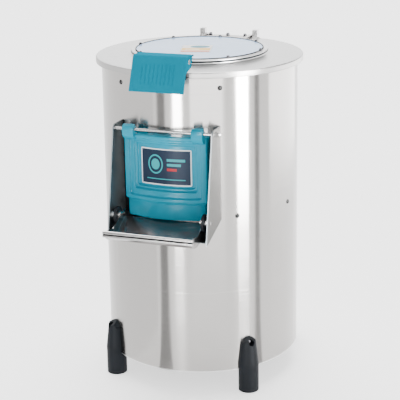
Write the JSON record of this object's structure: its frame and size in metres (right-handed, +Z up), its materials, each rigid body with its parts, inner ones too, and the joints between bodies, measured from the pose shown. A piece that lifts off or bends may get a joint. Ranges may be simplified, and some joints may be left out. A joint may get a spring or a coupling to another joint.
{
  "type": "potato peeler",
  "caption": "Free-standing electric potato peeler: a steel drum on feet with a lifting lid, a toggle latch, a side outlet with a hanging door and tray, and a belt-driven disc.",
  "frame": {"origin": "on the floor, under the drum's vertical axis, at the centre of the four feet", "axes": "+Z up along the drum's axis, -Y towards the outlet door and the latch, +X to the right as seen from the front"},
  "size_m": [0.5279, 0.6812, 0.8706],
  "materials": {
    "brushed_steel": "vertical brushed stainless steel",
    "cheek_steel": "smooth rolled stainless steel",
    "bright_steel": "polished",
    "dark_steel": "dark zinc plating",
    "teal_plastic": "moulded, satin gloss",
    "dark_plastic": "moulded, fine grain",
    "rubber": "matt",
    "clear_plastic": "clear sheet, slightly milky",
    "label_film": "printed film",
    "abrasive": "abrasive grit coating",
    "cast_aluminium": "cast, abrasive-coated on top of the disc",
    "cast_iron": "painted casting",
    "painted_motor": "enamel",
    "motor_steel": "machined",
    "brass": "machined",
    "green_plastic": "moulded",
    "red_plastic": "moulded"
  },
  "bodies": {
    "base": {"drum_casing": "brushed_steel", "top_cover": "brushed_steel", "chamber_liner": "abrasive", "chamber_floor": "cheek_steel", "drum_screws": "bright_steel", "cheeks": "cheek_steel", "outlet_floor": "cheek_steel", "door_rod": "bright_steel", "cheek_nuts": "bright_steel", "tray_studs": "bright_steel", "tray_spacers": "dark_plastic", "feet": "dark_plastic", "foot_bolts": "bright_steel", "base_plate": "cheek_steel", "bearing_housing": "cast_iron", "bearings": "bright_steel", "shaft_seal": "rubber", "housing_bolts": "bright_steel", "motor_rails": "dark_steel", "motor_plate": "dark_steel", "motor_body": "painted_motor", "motor_terminal_box": "dark_plastic", "motor_bolts": "bright_steel", "drive_belt": "rubber", "sump_box": "brushed_steel", "drain_pipe": "brushed_steel", "water_inlet": "brass", "spray_nozzle": "brass", "switch_box": "brushed_steel", "switch_cover": "brushed_steel", "switch_blocks": "dark_plastic", "cable_gland": "dark_plastic", "latch_keeper": "dark_steel", "hinge_base": "dark_steel", "hinge_pin": "bright_steel", "hinge_nuts": "dark_steel", "lid_sensor": "dark_plastic"},
    "lid": {"lid_ring": "brushed_steel", "lid_seal": "rubber", "pane_gasket": "rubber", "lid_pane": "clear_plastic", "pane_screws_set": "dark_steel", "lid_label": "label_film", "hinge_leaf": "brushed_steel", "latch_bracket": "brushed_steel", "latch_pin": "bright_steel", "sensor_magnet": "dark_plastic"},
    "latch": {"latch_handle": "teal_plastic", "latch_hook": "dark_steel"},
    "door": {"door_panel": "teal_plastic", "door_seal": "rubber", "door_label": "label_film"},
    "tray": {"tray_pan": "cheek_steel"},
    "drive": {"main_shaft": "bright_steel", "peeling_disc": "cast_aluminium", "disc_nut": "bright_steel", "driven_pulley": "cast_aluminium"},
    "rotor": {"motor_rotor": "motor_steel"},
    "start_switch": {"start_button": "green_plastic"},
    "stop_switch": {"stop_button": "red_plastic"}
  },
  "joints": [
    {"name": "lid_hinge", "type": "hinge", "parent": "base", "child": "lid", "pos_m": [0, 0.24, 0.835], "axis": [-1, 0, 0], "range_deg": [0, 100]},
    {"name": "latch_pivot", "type": "hinge", "parent": "lid", "child": "latch", "pos_m": [0, -0.262, 0.857], "axis": [-1, 0, 0], "range_deg": [0, 40]},
    {"name": "door_hinge", "type": "hinge", "parent": "base", "child": "door", "pos_m": [0, -0.2653, 0.6864], "axis": [-1, 0, 0], "range_deg": [0, 100]},
    {"name": "tray_hinge", "type": "hinge", "parent": "base", "child": "tray", "pos_m": [0, -0.295, 0.477], "axis": [-1, 0, 0], "range_deg": [0, 85]},
    {"name": "disc_spin", "type": "hinge", "parent": "base", "child": "drive", "pos_m": [0, 0, 0.488], "axis": [0, 0, 1], "continuous": true},
    {"name": "motor_spin", "type": "hinge", "parent": "base", "child": "rotor", "pos_m": [0, 0.15, 0.342], "axis": [0, 0, 1], "continuous": true},
    {"name": "start_press", "type": "slide", "parent": "base", "child": "start_switch", "axis": [0.5736, -0.8192, 0], "range_m": [0, 0.004], "stiffness_N_per_m": 500},
    {"name": "stop_press", "type": "slide", "parent": "base", "child": "stop_switch", "axis": [0.5736, -0.8192, 0], "range_m": [0, 0.004], "stiffness_N_per_m": 500}
  ],
  "couplings": [
    {"joint": "motor_spin", "follows": "disc_spin", "ratio": 4.4894}
  ]
}
